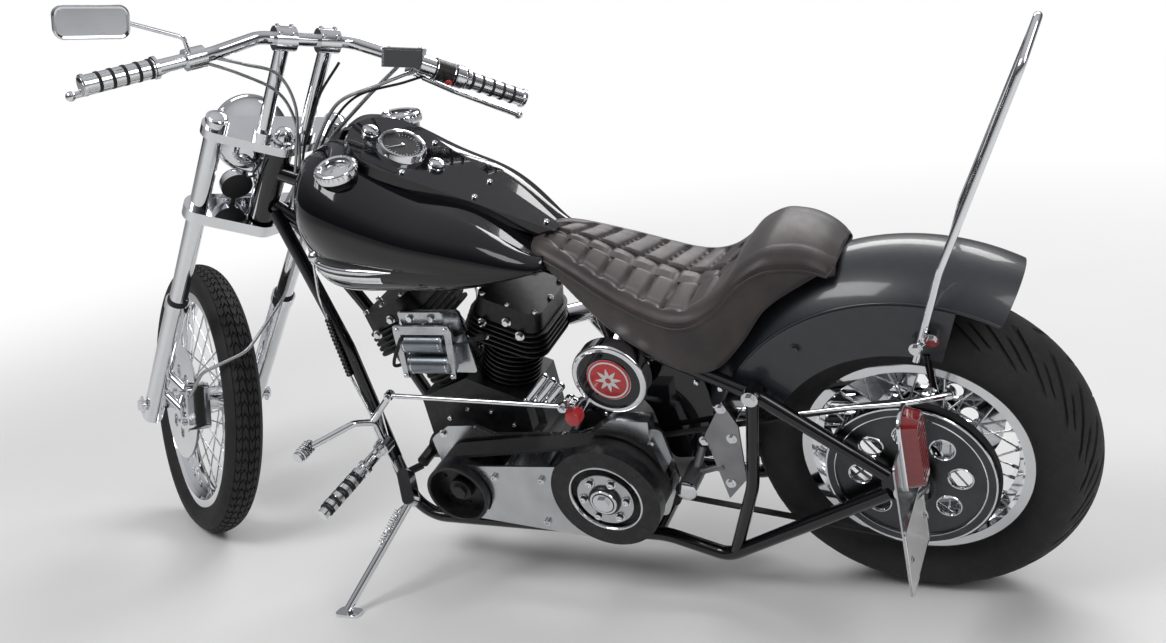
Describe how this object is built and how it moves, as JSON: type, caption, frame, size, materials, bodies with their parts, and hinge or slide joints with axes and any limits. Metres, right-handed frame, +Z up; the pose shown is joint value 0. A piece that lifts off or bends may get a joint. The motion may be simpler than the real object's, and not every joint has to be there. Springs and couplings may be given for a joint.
{
  "type": "chopper motorcycle",
  "caption": "Custom chopper motorcycle with raked fork, open belt primary, finned V engine, split tanks, solo seat and tall chrome sissy bar, parked on its side stand.",
  "frame": {"origin": "middle of the parked bike's bounding box, on the ground", "axes": "+X forward, +Y to the rider's left, +Z up; the bike leans to +Y on its side stand"},
  "size_m": [2.4423, 1.0619, 1.3464],
  "materials": {
    "black_paint": "high gloss",
    "cast": "cast",
    "chrome": "polished",
    "dark_plastic": "satin",
    "engine_black": "satin",
    "frame_paint": "gloss",
    "hose": "braided",
    "polished": "polished",
    "red_lens": "gloss",
    "rubber": "matt",
    "seat_leather": "satin",
    "steel": "brushed",
    "tyre": "matt"
  },
  "bodies": {
    "chassis": {"backbone": "frame_paint", "cradle_left": "frame_paint", "cradle_right": "frame_paint", "rear_frame": "frame_paint", "crankcase": "engine_black", "front_cylinder": "engine_black", "rear_cylinder": "engine_black", "pushrod_tubes": "chrome", "air_cleaner": "chrome", "exhaust_pipes": "chrome", "transmission": "engine_black", "motor_plate": "polished", "front_pulley": "engine_black", "clutch": "engine_black", "primary_belt": "rubber", "belt_guard": "polished", "oil_tank": "black_paint", "round_cover": "chrome", "side_plate": "cast", "drive_belt": "rubber", "ignition_coils": "chrome", "console": "black_paint", "tank_left": "black_paint", "tank_right": "black_paint", "seat": "seat_leather", "rear_fender": "black_paint", "sissy_bar": "chrome", "rear_axle": "chrome", "rear_caliper": "polished", "plate_bracket": "polished", "tail_light": "red_lens", "control_left": "chrome", "control_right": "chrome"},
    "steering": {"lower_tree": "chrome", "upper_tree": "chrome", "fork_leg_left": "chrome", "fork_leg_right": "chrome", "risers": "chrome", "handlebar": "chrome", "grip_left": "chrome", "grip_right": "chrome", "front_axle": "chrome", "headlight": "chrome", "horn": "dark_plastic", "clutch_lever": "chrome", "front_brake_lever": "chrome", "switch_housing": "dark_plastic", "front_caliper": "chrome", "front_brake_hose": "hose"},
    "front_wheel": {"front_tyre": "tyre", "front_wheel_rim": "chrome"},
    "rear_wheel": {"rear_tyre": "tyre", "rear_wheel_rim": "chrome", "drive_pulley": "steel"},
    "side_stand": {"side_stand": "chrome"}
  },
  "joints": [
    {"name": "steering_turn", "type": "hinge", "parent": "chassis", "child": "steering", "pos_m": [0.89169, -0.1298, 0.31223], "axis": [-0.6094, 0.1688, 0.7747], "range_deg": [0, 80]},
    {"name": "front_wheel_spin", "type": "hinge", "parent": "steering", "child": "front_wheel", "pos_m": [0.91781, -0.15252, 0.33773], "axis": [0.5095, 0.832, 0.2195], "continuous": true},
    {"name": "rear_wheel_spin", "type": "hinge", "parent": "chassis", "child": "rear_wheel", "pos_m": [-0.89624, -0.12847, 0.31995], "axis": [-0.0002, 0.977, -0.213], "continuous": true},
    {"name": "side_stand_fold", "type": "hinge", "parent": "chassis", "child": "side_stand", "pos_m": [0.18366, 0.05139, 0.20504], "axis": [-0.0844, 0.8035, 0.5893], "range_deg": [0, 90.7]}
  ]
}
